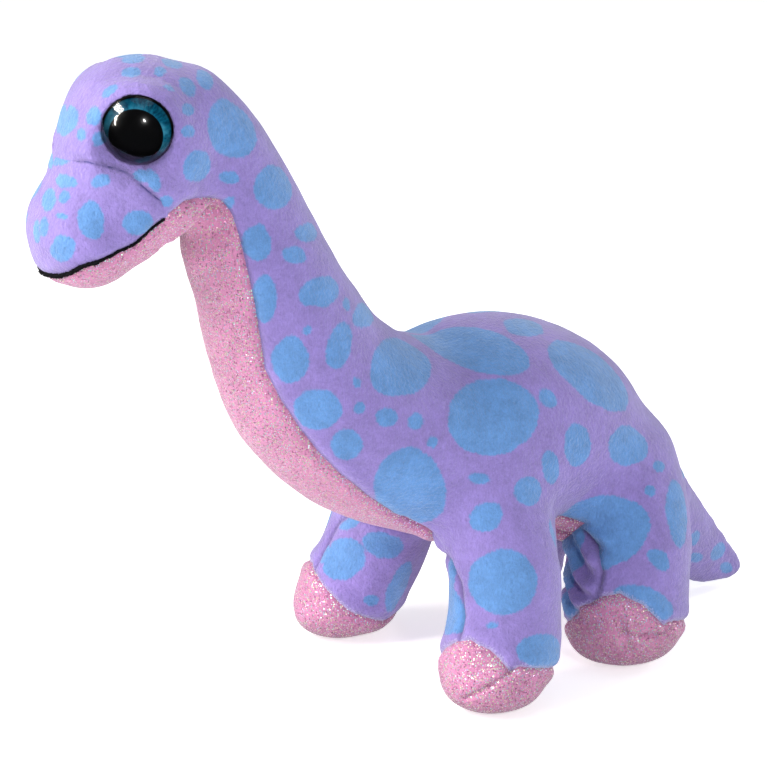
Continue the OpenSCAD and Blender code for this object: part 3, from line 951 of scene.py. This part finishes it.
def turned_shape(name, profile, place, sides=72):
    """A round shape: profile is rows of radius and height in mm, placed by a matrix."""
    rows = np.array(profile, float)
    angles = np.arange(sides) * 2 * np.pi / sides
    ring = np.stack([np.cos(angles), np.sin(angles), np.zeros(sides)], axis=1)
    points = rows[:, None, :1] * ring + rows[:, None, 1:] * np.array([0, 0, 1])
    quads = ring_quads(len(rows), sides)
    local = points.reshape(-1, 3)
    matrix = np.array(head_matrix() @ place)
    if np.linalg.det(matrix[:3, :3]) < 0:
        quads = quads[:, ::-1]
    return smooth_object(name, local @ matrix[:3, :3].T + matrix[:3, 3], quads, local)


def make_eye(hand, side):
    """The clear dome and the printed disc of one eye."""
    place = eye_matrix(side)
    ball = (EYE_R ** 2 + DOME_H ** 2) / (2 * DOME_H)
    reach = math.asin(EYE_R / ball)
    dome = [(ball * math.sin(t), DOME_BASE + DOME_H - ball + ball * math.cos(t))
            for t in np.linspace(reach, 0.0005, 26)]
    disc = DISC_RIM + [(r, DISC_FACE) for r in np.linspace(10, 0.01, 12)]
    return (turned_shape(hand + "_eye_cover", dome, place),
            turned_shape(hand + "_eye_face", disc, place))


# ---------------------------------------------------------------- pieces

def make_pieces(skin, names, posed, normals):
    """One object for each named part of the skin, with what its fabric's material reads."""
    pieces = {}
    for name in sorted(set(names)):
        used, index = np.unique(skin.faces[names == name], return_inverse=True)
        faces = index.reshape(-1, 3)
        piece = smooth_object("fabric_" + name, posed[used], faces, skin.values["rest"][used])
        for key in ("spot", "seam", "rim"):
            kept = piece.data.attributes.new(key, "FLOAT", "POINT")
            values = skin.values["spot"][cloth_of(name)] if key == "spot" else skin.values[key]
            kept.data.foreach_set("value", values[used].astype(np.float32))
        piece.data.normals_split_custom_set_from_vertices(normals[used].tolist())
        pieces[name] = piece
    return pieces


def levels_along(way, hinge, start, end):
    """Points on the line through a hinge along way, at two distances along it."""
    level = hinge @ way
    return [hinge + way * (s - level) / (way @ way) for s in (start, end)]


def blend_between(piece, first, second, start, end):
    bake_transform(piece)


def bend_piece(piece, name):
    """Gives a foot cap its leg's body and a torso or belly piece the torso's; every other piece only
    has its transform baked.
    """
    if name.split("_")[0] in ("front", "hind"):
        pair, hand = name.split("_")[:2]
        body = f"{pair}_{hand}_leg"
        if name.endswith("cap"):
            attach(piece, body)
            return
        way, start = PAIRS[pair][3:]
        way = np.array(way) * (1, -1 if hand == "left" else 1, 1)
        hip = pivot_mm(body + "_swing")
        blend_between(piece, "torso", body, *levels_along(way, hip, start, start + HIP_BEND))
    elif name.startswith("tail"):
        blend_between(piece, "torso", "tail", TAIL_ROOT, TAIL_ROOT + TAIL_BEND * TAIL_WAY)
    elif name.startswith("neck") or name == "throat_panel":
        blend_between(piece, "torso", "neck", NECK_START, NECK_END)
    elif name.startswith("torso") or name == "belly_panel":
        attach(piece, "torso")
    else:
        blend_head(piece)


def blend_head(piece):
    blend_between(piece, "neck", "head", *levels_along(HEAD_UP, HEAD_PIVOT, HEAD_START, HEAD_END))


def is_glitter(name):
    return name in ("jaw_panel", "throat_panel", "belly_panel") or name.endswith("cap")


# ---------------------------------------------------------------- materials

class Recipe:
    """A material being made from nodes."""

    def __init__(self, name, **settings):
        self.material = bpy.data.materials.new(name)
        self.material.use_nodes = True
        self.tree = self.material.node_tree
        self.shader = self.tree.nodes["Principled BSDF"]
        for key, value in settings.items():
            self.plug(self.shader.inputs[key.replace("_", " ")], value)

    def plug(self, socket, value):
        if isinstance(value, bpy.types.NodeSocket):
            self.tree.links.new(value, socket)
        else:
            socket.default_value = value

    def add(self, kind, inputs, out=0, **settings):
        made = self.tree.nodes.new("ShaderNode" + kind)
        for key, value in settings.items():
            setattr(made, key, value)
        for key, value in inputs.items():
            self.plug(made.inputs[key], value)
        return made.outputs[out]

    def value(self, name):
        return self.add("Attribute", {}, 2, attribute_name=name)

    def place(self, stretch=(1000, 1000, 1000)):
        rest = self.add("Attribute", {}, 1, attribute_name="rest")
        return self.add("VectorMath", {0: rest, 1: stretch}, operation="MULTIPLY")

    def noise(self, place, scale, detail, rough):
        return self.add("TexNoise", {"Vector": place, "Scale": scale, "Detail": detail,
                                     "Roughness": rough})

    def ramp(self, value, start, end, low=0.0, high=1.0, smooth=True):
        kind = "SMOOTHSTEP" if smooth else "LINEAR"
        return self.add("MapRange", {"Value": value, "From Min": start, "From Max": end,
                                     "To Min": low, "To Max": high}, interpolation_type=kind)

    def calc(self, operation, a, b=0.0, c=0.0):
        return self.add("Math", {0: a, 1: b, 2: c}, operation=operation)

    def length(self, x, y):
        return self.calc("SQRT", self.calc("ADD", self.calc("MULTIPLY", x, x),
                                           self.calc("MULTIPLY", y, y)))

    def mix(self, share, a, b):
        return self.add("Mix", {0: share, 6: a, 7: b}, 2, data_type="RGBA")

    def painted_fold_shade(self, dark):
        """Painted shade: brightness that falls in the deep folds, between the legs and under the
        chin, from how open each point is.
        """
        open_share = self.add("AmbientOcclusion", {"Distance": 0.045}, 1, samples=6)
        return self.ramp(open_share, 0.15, 0.75, dark, 1.0)

    def bump(self, height, strength, depth):
        return self.add("Bump", {"Height": height, "Strength": strength, "Distance": depth})


def rgb(red, green, blue):
    """A display colour from 0 to 255 as the shader takes it."""
    def linear(v):
        v /= 255
        return v / 12.92 if v <= 0.04045 else ((v + 0.055) / 1.055) ** 2.4
    return linear(red), linear(green), linear(blue), 1.0


PURPLE = rgb(138, 120, 189)
BLUE = rgb(91, 139, 198)
PINK = rgb(188, 120, 160)


def plush_material(name, stitched=False):
    """Short velvety pile with printed spots: mottled, brushed, with painted shade in its seams and
    deep folds.
    """
    m = Recipe(name, Roughness=0.7, Sheen_Weight=0.4, Sheen_Roughness=0.45,
               Sheen_Tint=(0.92, 0.94, 1, 1), Specular_IOR_Level=0.4)
    place = m.place()
    brushed = m.place((1000, 1000, 380))
    ragged = m.ramp(m.noise(place, 1.1, 3, 0.6), 0, 1, -0.9, 0.9, smooth=False)
    inside = m.calc("ADD", m.value("spot"), ragged)
    spot = m.ramp(inside, -0.45, 0.45)
    colour = m.mix(spot, PURPLE, BLUE)
    fine = m.noise(brushed, 1.9, 4, 0.7)
    patches = m.noise(place, 0.09, 3, 0.6)
    crushed = m.noise(place, 0.32, 3, 0.55)
    shade = m.calc("ADD", m.ramp(fine, 0.25, 0.75, -0.17, 0.17, smooth=False),
                   m.ramp(patches, 0.3, 0.7, 0.93, 1.07))
    shade = m.calc("ADD", shade, m.ramp(crushed, 0.3, 0.7, -0.06, 0.06))
    far = m.value("seam")
    # Painted shade: the pile darkens within about a millimetre of a seam, as if shaded in its
    # groove.
    shade = m.calc("MULTIPLY", shade, m.ramp(far, 0.1, 1.4, 0.72, 1.0))
    # Painted shade: darker where little of the surroundings is open, in folds, between the legs and
    # under the chin.
    shade = m.calc("MULTIPLY", shade, m.painted_fold_shade(0.72))
    if stitched:
        dots = m.noise(place, 0.42, 0, 0)
        dark = m.calc("MULTIPLY", m.ramp(far, 0.75, 0.25), m.ramp(dots, 0.4, 0.48, 0.35, 0.85))
        colour = m.mix(dark, colour, rgb(62, 58, 138))
    colour = m.add("HueSaturation", {"Value": shade, "Color": colour})
    tufts = m.calc("ADD", m.value("rim"), m.ramp(m.noise(place, 1.6, 2, 0.6), 0.3, 0.7, -0.8, 0.8))
    colour = m.mix(m.ramp(tufts, 1.3, 0.4, 0, 0.4), colour, rgb(206, 200, 238))
    m.plug(m.shader.inputs["Base Color"], colour)
    peel = m.noise(place, 0.8, 2, 0.5)
    height = m.calc("ADD", m.calc("MULTIPLY", fine, 0.5), peel)
    m.plug(m.shader.inputs["Normal"], m.bump(height, 0.8, 0.0009))
    return m.material


def glitter_material(name):
    """Knit with rows of foil dots, each tilted its own way, and painted shade in its seams and deep
    folds.
    """
    m = Recipe(name, Sheen_Weight=0.25, Sheen_Roughness=0.5, Specular_IOR_Level=0.3)
    place = m.place()
    cells = m.add("TexVoronoi", {"Vector": place, "Scale": 1.45, "Randomness": 0.75})
    tint = cells.node.outputs["Color"]
    parts = m.add("SeparateColor", {"Color": tint}).node.outputs
    dot = m.ramp(cells, 0.46, 0.34)
    foil = m.add("CombineColor", {"Red": parts[0], "Green": 0.3, "Blue": 1.0}, mode="HSV")
    bright = m.calc("MULTIPLY", dot, m.ramp(parts[1], 0.1, 0.55))
    dark = m.calc("MULTIPLY", dot, m.ramp(parts[2], 0.24, 0.1, 0.0, 0.75))
    knit = m.noise(place, 1.4, 2, 0.6)
    patches = m.noise(place, 0.11, 2, 0.5)
    shade = m.calc("ADD", m.ramp(knit, 0.3, 0.7, -0.08, 0.08),
                   m.ramp(patches, 0.3, 0.7, 0.94, 1.06))
    # Painted shade: the knit darkens close to a seam, as if shaded in its groove.
    shade = m.calc("MULTIPLY", shade, m.ramp(m.value("seam"), 0.1, 1.2, 0.75, 1.0))
    # Painted shade: darker where little of the surroundings is open, in folds, between the legs and
    # under the chin.
    shade = m.calc("MULTIPLY", shade, m.painted_fold_shade(0.6))
    base = m.add("HueSaturation", {"Value": shade, "Color": PINK})
    base = m.mix(dark, base, rgb(112, 62, 96))
    base = m.mix(bright, base, foil)
    m.plug(m.shader.inputs["Base Color"], base)
    m.plug(m.shader.inputs["Metallic"], m.calc("MULTIPLY", dot, 0.65))
    m.plug(m.shader.inputs["Roughness"], m.ramp(dot, 0, 1, 0.65, 0.38, smooth=False))
    tilt = m.add("VectorMath", {0: tint, 1: (0.5, 0.5, 0.5)}, operation="SUBTRACT")
    lean = m.add("VectorMath", {0: tilt, "Scale": m.calc("MULTIPLY", dot, 0.9)}, operation="SCALE")
    normal = m.bump(m.calc("ADD", m.calc("MULTIPLY", knit, 0.5), patches), 0.35, 0.0005)
    leaning = m.add("VectorMath", {0: normal, 1: lean}, operation="ADD")
    m.plug(m.shader.inputs["Normal"], m.add("VectorMath", {0: leaning}, operation="NORMALIZE"))
    return m.material


def thread_material():
    m = Recipe("black_thread", Roughness=0.9, Specular_IOR_Level=0.1)
    strands = m.noise(m.place((1500, 1500, 4000)), 1.2, 3, 0.7)
    black, worn = (0.001, 0.001, 0.0015, 1), (0.011, 0.011, 0.014, 1)
    m.plug(m.shader.inputs["Base Color"], m.mix(strands, black, worn))
    m.plug(m.shader.inputs["Normal"], m.bump(strands, 0.6, 0.0003))
    return m.material


def face_material():
    """Printed disc behind the clear dome: teal iris with fibres, painted shade towards its lower
    left, a large pupil and a black rim.
    """
    m = Recipe("eye_print", Roughness=0.6, Specular_IOR_Level=0.05)
    place = m.place()
    x, y, _ = m.add("SeparateXYZ", {0: place}).node.outputs
    px, py = m.calc("ADD", x, 0.5), m.calc("ADD", y, 1.6)
    pupil, radius = m.length(px, py), m.length(x, y)
    angle = m.calc("ARCTAN2", py, px)
    along = m.add("CombineXYZ", {"X": m.calc("MULTIPLY", angle, 9.0),
                                 "Y": m.calc("MULTIPLY", pupil, 0.35)})
    fibres = m.noise(along, 1.3, 4, 0.65)
    cloud = m.noise(place, 0.22, 2, 0.5)
    teal = m.mix(m.ramp(fibres, 0.3, 0.72), rgb(0, 58, 88), rgb(14, 122, 154))
    teal = m.mix(m.ramp(cloud, 0.42, 0.66, 0, 0.6), teal, rgb(74, 164, 194))
    # Painted shade: the iris turns almost black towards its lower left.
    low = m.calc("ADD", m.calc("MULTIPLY", y, 0.8), m.calc("MULTIPLY", x, 0.35))
    teal = m.mix(m.ramp(low, -6.5, 3, 0.96, 0), teal, rgb(1, 10, 16))
    colour = m.mix(m.ramp(pupil, 8.6, 8.35), teal, (0.0015, 0.0015, 0.002, 1))
    colour = m.mix(m.ramp(radius, 10.25, 10.6), colour, (0.002, 0.002, 0.003, 1))
    m.plug(m.shader.inputs["Base Color"], colour)
    return m.material


def clear_material():
    """Clear plastic: see-through with a glossy surface."""
    m = Recipe("clear_plastic")
    clear = m.add("BsdfTransparent", {"Color": (0.97, 0.99, 1, 1)})
    scratch = m.ramp(m.noise(m.place(), 0.12, 2, 0.5), 0.3, 0.7, 0.01, 0.03)
    gloss = m.add("BsdfGlossy", {"Color": (1, 1, 1, 1), "Roughness": scratch})
    share = m.add("Fresnel", {"IOR": 1.4})
    both = m.add("MixShader", {0: share, 1: clear, 2: gloss})
    haze = m.add("BsdfGlossy", {"Color": (1, 1, 1, 1), "Roughness": 0.2})
    both = m.add("MixShader", {0: 0.02, 1: both, 2: haze})
    m.plug(m.tree.nodes["Material Output"].inputs["Surface"], both)
    return m.material


def nylon_material():
    m = Recipe("white_nylon", Roughness=0.45)
    grain = m.noise(m.add("TexCoord", {}, 3), 900, 3, 0.6)
    m.plug(m.shader.inputs["Base Color"], m.mix(grain, rgb(214, 212, 205), rgb(240, 239, 234)))
    m.plug(m.shader.inputs["Normal"], m.bump(grain, 0.2, 0.0001))
    return m.material


# ---------------------------------------------------------------- assembly

STUFFING = {"torso": "torso", "belly": "torso", "neck": "neck", "throat": "neck", "tail": "tail"}


def filling_of(name):
    if name.split("_")[0] in ("front", "hind"):
        return "_".join(name.split("_")[:2]) + "_leg_stuffing"
    return STUFFING.get(name.split("_")[0], "head") + "_stuffing"


def dress(piece, name):
    """Gives a fabric piece its material, and hides the nodes of the frame that it stands for."""
    if is_glitter(name):
        material, slot, fill = GLITTER, "glitter_fabric", 0.85
    else:
        material = PLUSH_STITCHED if name == "muzzle_panel" else PLUSH
        slot, fill = "plush_fabric", 0.9
    piece.data.materials.append(material)
    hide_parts(name, filling_of(name))


make_camera()
make_studio()
skin, names = build_skin()
sew(skin, names)
skin.values["rest"] = seat_eyes(skin.values["rest"])
print_spots(skin, names)
posed = head_turned(skin.values["rest"])
normals = point_normals(posed, skin.faces)
pieces = make_pieces(skin, names, posed, normals)

PLUSH, PLUSH_STITCHED = plush_material("plush"), plush_material("plush_muzzle", stitched=True)
GLITTER = glitter_material("glitter_knit")
for name, piece in pieces.items():
    bend_piece(piece, name)
    dress(piece, name)

thread = make_thread(skin)
thread.data.materials.append(thread_material())
blend_head(thread)
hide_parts("mouth_thread")

FACE, CLEAR, NYLON = face_material(), clear_material(), nylon_material()
for hand, side in (("left", 1), ("right", -1)):
    cover, face = make_eye(hand, side)
    for shape, material, node in ((cover, CLEAR, "dome"), (face, FACE, "iris")):
        shape.data.materials.append(material)
        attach(shape, "head")
        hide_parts(f"{hand}_eye_{node}")
    for node in ("stem", "washer"):
        fixing = frame["nodes"][f"{hand}_eye_{node}"]
        fixing.data.materials.clear()
        fixing.data.materials.append(NYLON)
